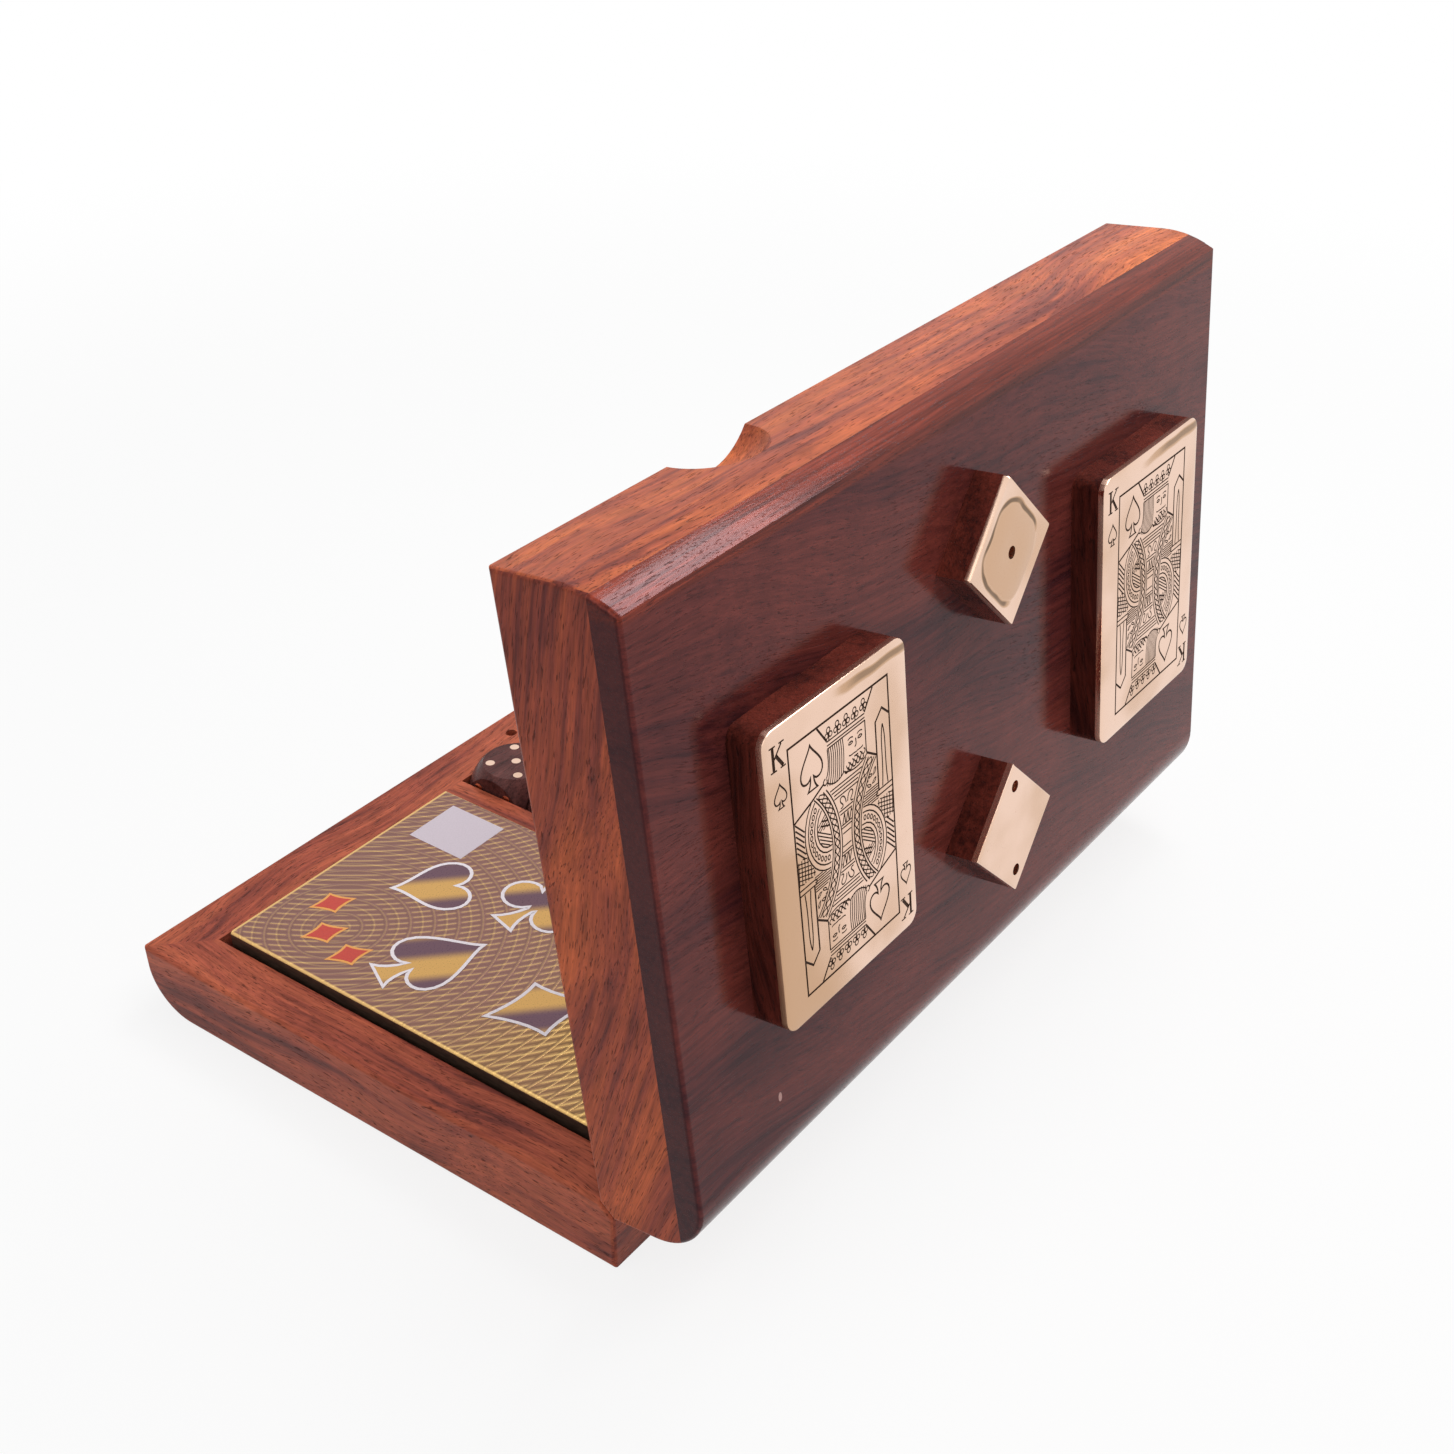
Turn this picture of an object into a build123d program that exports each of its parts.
from build123d import *
import os
from math import cos, hypot, radians, sin, sqrt, tan

# Card and dice box in oiled hardwood, in millimetres. A shallow base holds two packs of cards on
# either side of a well of dice. A deeper lid is hinged to its back rail and carries two brass
# playing cards and two brass dice on raised blocks.
# The origin is the centre of the underside, +X runs to the right-hand end, -Y to the front edge
# that opens, +Y to the hinges and +Z up. The lid is drawn shut and then swung open.

# Packs of cards, one in each side pocket
CARTON_WIDTH = 60.0
CARTON_LENGTH = 91.0
CARTON_THICKNESS = 14.5
CARTON_BOARD = 0.5
CARTON_FOLD_RADIUS = 0.8
CARTON_SIDE_GAP = 1.0
CARTON_FRONT_GAP = 2.6
CARTON_BACK_GAP = 1.4
FLAP_TONGUE = 16.0
THUMB_NOTCH_RADIUS = 8.0
DECK_SIDE_GAP = 0.9
DECK_TOP_GAP = 0.2
CARD_CORNER_RADIUS = 3.2

# Dice, one row in the middle well
DIE_SIZE = 16.0
DIE_FACE_RADIUS = 7.1
DIE_COUNT = 5
DIE_SPACING_GAP = 0.5
DIE_WALL_GAP = 0.4
WELL_SPARE_WIDTH = 4.0

# Base frame
RAIL_WIDTH = 10.0
DIVIDER_THICKNESS = 6.0
FLOOR_THICKNESS = 2.5
FLOOR_LAP = 4.0
POCKET_DEPTH = 12.0
BASE_FRONT_RADIUS = 10.0
ARRIS_RADIUS = 0.8

# Lid frame and its dark top panel
LID_DEPTH = 17.0
TOP_THICKNESS = 5.0
LID_FRONT_RADIUS = 20.0
LID_FRONT_SETBACK = 2.9
LID_BACK_RADIUS = 10.5
SCOOP_X = 39.8
SCOOP_HALF_WIDTH = 9.6
SCOOP_DEPTH = 4.1

# Raised blocks and brass plates on the lid
BLOCK_HEIGHT = 5.2
CARD_PLATE_WIDTH = 37.0
CARD_PLATE_LENGTH = 52.0
CARD_PLATE_CORNER = 2.5
CARD_PLATE_FROM_END = 37.0
PLATE_THICKNESS = 1.4
PLATE_EDGE_RADIUS = 0.4
PLATES_FORWARD = 3.8
DIE_PLATE_SIZE = 18.3
DIE_PLATE_OFFSET = 26.1
PIP_RADIUS = 1.1
PIP_OFFSET = 8.6

# Hinges: axis let into the back rails, whose bevelled edges meet and stop the open lid
OPEN_ANGLE = 83.0
CLOSED_GAP = 0.2
HINGE_INSET = 3.0
HINGE_FROM_END = 36.0
LEAF_LENGTH = 24.0
LEAF_THICKNESS = 1.0
LEAF_RIM_LIP = 0.8
LEAF_SIDE_GAP = 0.1
KNUCKLE_RADIUS = 1.5
KNUCKLE_COUNT = 3
KNUCKLE_GAP = 0.2
KNUCKLE_CLEARANCE = 0.3
HINGE_PIN_RADIUS = 0.6
HINGE_PIN_CLEARANCE = 0.05
PIN_HEAD_RADIUS = 1.0
PIN_HEAD_THICKNESS = 0.4
SCREW_HEAD_RADIUS = 1.5
SCREW_HEAD_RIM = 0.15
SCREW_SHANK_RADIUS = 0.7
SCREW_POINT_RADIUS = 0.15
SCREW_LENGTH = 6.0
SCREW_CLEARANCE = 0.05
SCREW_SLOT_WIDTH = 0.4
SCREW_SLOT_DEPTH = 0.35
SCREW_FROM_LEAF_END = 4.0

# Catch: a brass pin in the lid rim that drops into a hole in the base rim
CATCH_X = -10.8
CATCH_FROM_FRONT = 5.7
CATCH_PIN_RADIUS = 1.0
CATCH_PIN_STAND = 3.0
CATCH_PIN_SUNK = 6.0
CATCH_HOLE_RADIUS = 1.25
CATCH_HOLE_SPARE = 1.5

# Sizes that follow from the ones above
POCKET_WIDTH = CARTON_WIDTH + 2 * CARTON_SIDE_GAP
WELL_WIDTH = DIE_SIZE + WELL_SPARE_WIDTH
CARTON_ROOM = CARTON_FRONT_GAP + CARTON_LENGTH + CARTON_BACK_GAP
DICE_ROW = 2 * DIE_WALL_GAP + DIE_COUNT * DIE_SIZE + (DIE_COUNT - 1) * DIE_SPACING_GAP
INNER_LENGTH = 2 * POCKET_WIDTH + 2 * DIVIDER_THICKNESS + WELL_WIDTH
INNER_DEPTH = max(CARTON_ROOM, DICE_ROW)
BOX_LENGTH = INNER_LENGTH + 2 * RAIL_WIDTH
BOX_DEPTH = INNER_DEPTH + 2 * RAIL_WIDTH
BASE_HEIGHT = FLOOR_THICKNESS + POCKET_DEPTH
LID_HEIGHT = LID_DEPTH + TOP_THICKNESS
HALF_LENGTH = BOX_LENGTH / 2
HALF_DEPTH = BOX_DEPTH / 2
HALF_GAP = CLOSED_GAP / 2
HINGE_Y = HALF_DEPTH - HINGE_INSET
HINGE_Z = BASE_HEIGHT + HALF_GAP
LID_RIM = BASE_HEIGHT + CLOSED_GAP
LID_TOP = LID_RIM + LID_HEIGHT
LEAF_REACH = RAIL_WIDTH - HINGE_INSET - LEAF_RIM_LIP
GUTTER_RADIUS = KNUCKLE_RADIUS + KNUCKLE_CLEARANCE
GUTTER_LENGTH = LEAF_LENGTH + 2 * (PIN_HEAD_THICKNESS + KNUCKLE_GAP)
BEVEL_ANGLE = radians(OPEN_ANGLE / 2)
BEVEL_Y = HINGE_Y - HALF_GAP * tan(BEVEL_ANGLE / 2)
BEVEL_DROP = (HALF_GAP + HINGE_INSET * sin(BEVEL_ANGLE)) / cos(BEVEL_ANGLE) - HALF_GAP
HINGE_AXIS = Axis((0, HINGE_Y, HINGE_Z), (1, 0, 0))
HINGE_PLACES = {
    "left": -HALF_LENGTH + HINGE_FROM_END,
    "right": HALF_LENGTH - HINGE_FROM_END,
}
SIDES = {"left": -1, "right": 1}


def block(x, y, z):
    """Box between two values on each axis."""
    size = (x[1] - x[0], y[1] - y[0], z[1] - z[0])
    middle = (sum(x) / 2, sum(y) / 2, sum(z) / 2)
    return Pos(*middle) * Box(*size)


def rod_along_x(radius, length, x=0.0):
    """Round bar on the hinge axis, centred at x."""
    return Pos(x, HINGE_Y, HINGE_Z) * Rot(0, 90, 0) * Cylinder(radius, length)


def bar_with_section(edges):
    """Bar of the box's whole length with the section that the edges draw as (y, z)."""
    section = Plane.YZ.offset(-HALF_LENGTH) * make_face(edges)
    return extrude(section, BOX_LENGTH)


def eased(blank):
    """The blank with the arrises round both of its end faces taken off."""
    ends = blank.faces().filter_by(Axis.X)
    return fillet(ends.edges(), ARRIS_RADIUS)


def base_blank():
    """Outside of the base: rounded under its front edge, bevelled along its hinge edge."""
    round_top = (-HALF_DEPTH, BASE_FRONT_RADIUS)
    round_foot = (-HALF_DEPTH + BASE_FRONT_RADIUS, 0)
    edges = [
        CenterArc((round_foot[0], round_top[1]), BASE_FRONT_RADIUS, 180, 90),
        Polyline(
            round_foot,
            (HALF_DEPTH, 0),
            (HALF_DEPTH, BASE_HEIGHT - BEVEL_DROP),
            (BEVEL_Y, BASE_HEIGHT),
            (-HALF_DEPTH, BASE_HEIGHT),
            round_top,
        ),
    ]
    return eased(bar_with_section(edges))


def lid_blank():
    """Outside of the shut lid: a large round that meets the top at an edge, and a rounded back."""
    rise = sqrt(LID_FRONT_RADIUS**2 - (LID_FRONT_RADIUS - LID_FRONT_SETBACK) ** 2)
    spring = (-HALF_DEPTH, LID_TOP - rise)
    crest = (-HALF_DEPTH + LID_FRONT_SETBACK, LID_TOP)
    middle = rise / 2
    bulge = LID_FRONT_RADIUS - sqrt(LID_FRONT_RADIUS**2 - middle**2)
    back_foot = (HALF_DEPTH, LID_TOP - LID_BACK_RADIUS)
    back_crest = (HALF_DEPTH - LID_BACK_RADIUS, LID_TOP)
    edges = [
        ThreePointArc(spring, (-HALF_DEPTH + bulge, spring[1] + middle), crest),
        Line(crest, back_crest),
        CenterArc((back_crest[0], back_foot[1]), LID_BACK_RADIUS, 0, 90),
        Polyline(
            back_foot,
            (HALF_DEPTH, LID_RIM + BEVEL_DROP),
            (BEVEL_Y, LID_RIM),
            (-HALF_DEPTH, LID_RIM),
            spring,
        ),
    ]
    return eased(bar_with_section(edges))


def mitred(frame):
    """The four rails that a frame is cut into by mitres from its corners."""
    peak = HALF_LENGTH - HALF_DEPTH
    outlines = {
        "front_rail": [(-HALF_LENGTH, -HALF_DEPTH), (HALF_LENGTH, -HALF_DEPTH), (peak, 0), (-peak, 0)],
        "back_rail": [(-HALF_LENGTH, HALF_DEPTH), (HALF_LENGTH, HALF_DEPTH), (peak, 0), (-peak, 0)],
        "left_end": [(-HALF_LENGTH, -HALF_DEPTH), (-HALF_LENGTH, HALF_DEPTH), (-peak, 0)],
        "right_end": [(HALF_LENGTH, -HALF_DEPTH), (HALF_LENGTH, HALF_DEPTH), (peak, 0)],
    }
    rails = {}
    for name, corners in outlines.items():
        wedge = extrude(make_face(Polyline(*corners, close=True)), LID_TOP, both=True)
        rails[name] = frame & wedge
    return rails


def screw_places(hinge_x):
    """Where a leaf's two screws stand, as (x, y)."""
    across = HINGE_Y - (GUTTER_RADIUS + LEAF_REACH) / 2
    along = LEAF_LENGTH / 2 - SCREW_FROM_LEAF_END
    return [(hinge_x - along, across), (hinge_x + along, across)]


def screw(extra=0.0):
    """Countersunk screw, point down, head flush with z = 0; extra makes the hole that it needs."""
    head = SCREW_HEAD_RADIUS + extra
    shank = SCREW_SHANK_RADIUS + extra
    cone_foot = -SCREW_HEAD_RIM - (SCREW_HEAD_RADIUS - SCREW_SHANK_RADIUS)
    point = -SCREW_LENGTH - extra
    outline = Polyline(
        (0, 0),
        (head, 0),
        (head, -SCREW_HEAD_RIM),
        (shank, cone_foot),
        (shank, point + SCREW_SHANK_RADIUS),
        (SCREW_POINT_RADIUS + extra, point),
        (0, point),
        close=True,
    )
    return revolve(Plane.XZ * make_face(outline), Axis.Z)


def slotted_screw():
    """Screw with the slot in its head."""
    slot = Box(3 * SCREW_HEAD_RADIUS, SCREW_SLOT_WIDTH, 2 * SCREW_SLOT_DEPTH)
    return screw() - slot


def over_the_rim(shape):
    """The same shape mirrored from the base's rim to the shut lid's rim."""
    return mirror(shape, Plane.XY.offset(HINGE_Z))


def hinge_seat(hinge_x):
    """What the base's back rail loses for one hinge: leaf recess, knuckle gutter, screw holes."""
    half = LEAF_LENGTH / 2 + LEAF_SIDE_GAP
    recess = block(
        (hinge_x - half, hinge_x + half),
        (HINGE_Y - LEAF_REACH - LEAF_SIDE_GAP, HINGE_Y),
        (BASE_HEIGHT - LEAF_THICKNESS, BASE_HEIGHT + GUTTER_RADIUS),
    )
    seat = recess + rod_along_x(GUTTER_RADIUS, GUTTER_LENGTH, hinge_x)
    for x, y in screw_places(hinge_x):
        seat += Pos(x, y, BASE_HEIGHT) * screw(SCREW_CLEARANCE)
    return seat


def knuckle_places(hinge_x, own):
    """Middles of the knuckles that one leaf has, or of those that it leaves to the other."""
    pitch = LEAF_LENGTH / KNUCKLE_COUNT
    first = hinge_x - LEAF_LENGTH / 2 + pitch / 2
    return [first + pitch * i for i in range(KNUCKLE_COUNT) if (i % 2 == 0) == own]


def hinge_leaf(hinge_x, outer):
    """Leaf in the base's rim, with the outer knuckles or with the inner ones."""
    pitch = LEAF_LENGTH / KNUCKLE_COUNT
    leaf = block(
        (hinge_x - LEAF_LENGTH / 2, hinge_x + LEAF_LENGTH / 2),
        (HINGE_Y - LEAF_REACH, HINGE_Y),
        (BASE_HEIGHT - LEAF_THICKNESS, BASE_HEIGHT),
    )
    leaf -= rod_along_x(KNUCKLE_RADIUS, LEAF_LENGTH + CLOSED_GAP, hinge_x)
    for x in knuckle_places(hinge_x, not outer):
        leaf -= rod_along_x(GUTTER_RADIUS, pitch + KNUCKLE_GAP, x)
    for x in knuckle_places(hinge_x, outer):
        leaf += rod_along_x(KNUCKLE_RADIUS, pitch - KNUCKLE_GAP, x)
    leaf -= rod_along_x(HINGE_PIN_RADIUS + HINGE_PIN_CLEARANCE, 2 * LEAF_LENGTH, hinge_x)
    for x, y in screw_places(hinge_x):
        leaf -= Pos(x, y, BASE_HEIGHT) * screw(SCREW_CLEARANCE)
    return leaf


def hinge_pin(hinge_x):
    """Hinge pin with a riveted head at each end."""
    pin = rod_along_x(HINGE_PIN_RADIUS, LEAF_LENGTH, hinge_x)
    for side in SIDES.values():
        head_x = hinge_x + side * (LEAF_LENGTH + PIN_HEAD_THICKNESS) / 2
        pin += rod_along_x(PIN_HEAD_RADIUS, PIN_HEAD_THICKNESS, head_x)
    return pin


def base_nodes():
    """Base frame, floor, dividers and the base's half of each hinge."""
    half_in_x = INNER_LENGTH / 2
    half_in_y = INNER_DEPTH / 2
    blank = base_blank()
    floor_lap = block(
        (-half_in_x - FLOOR_LAP, half_in_x + FLOOR_LAP),
        (-half_in_y - FLOOR_LAP, half_in_y + FLOOR_LAP),
        (0, FLOOR_THICKNESS),
    )
    inside = block((-half_in_x, half_in_x), (-half_in_y, half_in_y), (0, BASE_HEIGHT))
    rails = mitred(blank - floor_lap - inside)
    catch_depth = CATCH_PIN_STAND + CATCH_HOLE_SPARE
    catch_y = -HALF_DEPTH + CATCH_FROM_FRONT
    catch_hole = Pos(CATCH_X, catch_y, BASE_HEIGHT) * Cylinder(CATCH_HOLE_RADIUS, 2 * catch_depth)
    rails["front_rail"] -= catch_hole
    for hinge_x in HINGE_PLACES.values():
        rails["back_rail"] -= hinge_seat(hinge_x)
    nodes = {f"base_{name}": rail for name, rail in rails.items()}
    nodes["floor_panel"] = blank & floor_lap
    for side, sign in SIDES.items():
        faces = sorted((sign * WELL_WIDTH / 2, sign * (WELL_WIDTH / 2 + DIVIDER_THICKNESS)))
        nodes[f"divider_{side}"] = block(faces, (-half_in_y, half_in_y), (FLOOR_THICKNESS, BASE_HEIGHT))
    screws = []
    for side, hinge_x in HINGE_PLACES.items():
        nodes[f"base_hinge_leaf_{side}"] = hinge_leaf(hinge_x, outer=True)
        nodes[f"hinge_pin_{side}"] = hinge_pin(hinge_x)
        screws += [Pos(x, y, BASE_HEIGHT) * slotted_screw() for x, y in screw_places(hinge_x)]
    nodes["base_hinge_screws"] = Compound(children=screws)
    return nodes


def thumb_scoop():
    """Ball that hollows the front rail's rim for a thumb."""
    beyond = (SCOOP_HALF_WIDTH**2 - SCOOP_DEPTH**2) / (2 * SCOOP_DEPTH)
    return Pos(SCOOP_X, -HALF_DEPTH - beyond, LID_RIM) * Sphere(beyond + SCOOP_DEPTH)


def catch_pin(extra=0.0):
    """Round-nosed pin driven into the lid's rim; extra makes its hole."""
    radius = CATCH_PIN_RADIUS + extra
    length = CATCH_PIN_STAND + CATCH_PIN_SUNK - CATCH_PIN_RADIUS
    middle = LID_RIM - CATCH_PIN_STAND + CATCH_PIN_RADIUS + length / 2
    shank = Pos(0, 0, middle) * Cylinder(radius, length)
    nose = Pos(0, 0, middle - length / 2) * Sphere(radius)
    return Pos(CATCH_X, -HALF_DEPTH + CATCH_FROM_FRONT, 0) * (shank + nose)


def on_lid_top(sketch, height, thickness):
    """Plate of the sketch's outline, standing a height above the lid's top."""
    return Pos(0, 0, LID_TOP + height) * extrude(sketch, thickness)


def softened(plate):
    """Plate with the edges round its upper face eased."""
    return fillet(plate.faces().sort_by(Axis.Z)[-1].edges(), PLATE_EDGE_RADIUS)


def brass_nodes():
    """Two card blocks and two dice blocks on the lid, each under its brass plate."""
    nodes = {}
    middle_y = -PLATES_FORWARD
    card_x = HALF_LENGTH - CARD_PLATE_FROM_END
    for side, sign in SIDES.items():
        card = Pos(sign * card_x, middle_y) * RectangleRounded(
            CARD_PLATE_WIDTH, CARD_PLATE_LENGTH, CARD_PLATE_CORNER
        )
        nodes[f"card_block_{side}"] = on_lid_top(card, 0, BLOCK_HEIGHT)
        nodes[f"card_plate_{side}"] = softened(on_lid_top(card, BLOCK_HEIGHT, PLATE_THICKNESS))
    pips = {"front": [0.0], "back": [-PIP_OFFSET, PIP_OFFSET]}
    for end, offsets in pips.items():
        y = middle_y + (DIE_PLATE_OFFSET if end == "back" else -DIE_PLATE_OFFSET)
        square = Pos(0, y) * Rot(0, 0, 45) * Rectangle(DIE_PLATE_SIZE, DIE_PLATE_SIZE)
        plate = softened(on_lid_top(square, BLOCK_HEIGHT, PLATE_THICKNESS))
        for offset in offsets:
            plate -= Pos(0, y + offset, LID_TOP + BLOCK_HEIGHT) * Cylinder(PIP_RADIUS, 3 * PLATE_THICKNESS)
        nodes[f"die_block_{end}"] = on_lid_top(square, 0, BLOCK_HEIGHT)
        nodes[f"die_plate_{end}"] = plate
    return nodes


def lid_nodes():
    """The lid and all that it carries, drawn shut."""
    half_in_x = INNER_LENGTH / 2
    half_in_y = INNER_DEPTH / 2
    seam = LID_RIM + LID_DEPTH
    blank = lid_blank()
    panel = block((-BOX_LENGTH, BOX_LENGTH), (-BOX_DEPTH, BOX_DEPTH), (seam, LID_TOP + TOP_THICKNESS))
    inside = block((-half_in_x, half_in_x), (-half_in_y, half_in_y), (LID_RIM, seam))
    rails = mitred(blank - panel - inside)
    rails["front_rail"] -= thumb_scoop()
    rails["front_rail"] -= catch_pin(SCREW_CLEARANCE)
    for hinge_x in HINGE_PLACES.values():
        rails["back_rail"] -= over_the_rim(hinge_seat(hinge_x))
    nodes = {f"lid_{name}": rail for name, rail in rails.items()}
    nodes["lid_top_panel"] = blank & panel
    nodes["catch_pin"] = catch_pin()
    nodes |= brass_nodes()
    screws = []
    for side, hinge_x in HINGE_PLACES.items():
        nodes[f"lid_hinge_leaf_{side}"] = over_the_rim(hinge_leaf(hinge_x, outer=False))
        for x, y in screw_places(hinge_x):
            screws.append(over_the_rim(Pos(x, y, BASE_HEIGHT) * slotted_screw()))
    nodes["lid_hinge_screws"] = Compound(children=screws)
    return nodes


def carton_nodes(side):
    """Tuck carton, its end flap and the pack of cards inside, lying in one pocket."""
    middle_x = SIDES[side] * (WELL_WIDTH + POCKET_WIDTH + 2 * DIVIDER_THICKNESS) / 2
    front = -INNER_DEPTH / 2 + CARTON_FRONT_GAP
    back = front + CARTON_LENGTH
    foot = FLOOR_THICKNESS
    top = foot + CARTON_THICKNESS
    x = (middle_x - CARTON_WIDTH / 2, middle_x + CARTON_WIDTH / 2)
    in_x = (x[0] + CARTON_BOARD, x[1] - CARTON_BOARD)
    in_z = (foot + CARTON_BOARD, top - CARTON_BOARD)
    sleeve = block(x, (front, back), (foot, top))
    sleeve = fillet(sleeve.edges().filter_by(Axis.Y), CARTON_FOLD_RADIUS)
    sleeve -= block(in_x, (front + CARTON_BOARD, back), in_z)
    notch = Pos(middle_x, back, top) * Cylinder(THUMB_NOTCH_RADIUS, 2 * CARTON_BOARD)
    sleeve -= notch
    cap = block(in_x, (back - CARTON_BOARD, back), in_z)
    tongue = block(
        in_x,
        (back - FLAP_TONGUE, back - CARTON_BOARD),
        (in_z[1] - CARTON_BOARD, in_z[1]),
    )
    deck_x = (in_x[0] + DECK_SIDE_GAP, in_x[1] - DECK_SIDE_GAP)
    deck_y = (front + CARTON_BOARD + DECK_SIDE_GAP, back - CARTON_BOARD - DECK_SIDE_GAP)
    deck = block(deck_x, deck_y, (in_z[0], in_z[1] - CARTON_BOARD - DECK_TOP_GAP))
    deck = fillet(deck.edges().filter_by(Axis.Z), CARD_CORNER_RADIUS)
    return {
        f"carton_{side}": sleeve,
        f"carton_flap_{side}": cap + tongue,
        f"card_pack_{side}": deck,
    }


def wooden_die(index):
    """Die with its corners rounded by a ball, at its place in the row."""
    ball = hypot(DIE_SIZE / 2, DIE_FACE_RADIUS)
    x = WELL_WIDTH / 2 - DIE_WALL_GAP - DIE_SIZE / 2
    first = -INNER_DEPTH / 2 + DIE_WALL_GAP + DIE_SIZE / 2
    y = first + index * (DIE_SIZE + DIE_SPACING_GAP)
    die = Box(DIE_SIZE, DIE_SIZE, DIE_SIZE) & Sphere(ball)
    return Pos(x, y, FLOOR_THICKNESS + DIE_SIZE / 2) * die


def main():
    """Build every node, swing the lid open and write the parts."""
    nodes = base_nodes()
    for name, shape in lid_nodes().items():
        nodes[name] = shape.rotate(HINGE_AXIS, -OPEN_ANGLE)
    for side in SIDES:
        nodes |= carton_nodes(side)
    for index in range(DIE_COUNT):
        nodes[f"die_{index + 1}"] = wooden_die(index)
    os.makedirs("parts", exist_ok=True)
    for name, shape in nodes.items():
        export_step(shape, f"parts/{name}.step")
        print(name, round(shape.volume))


main()
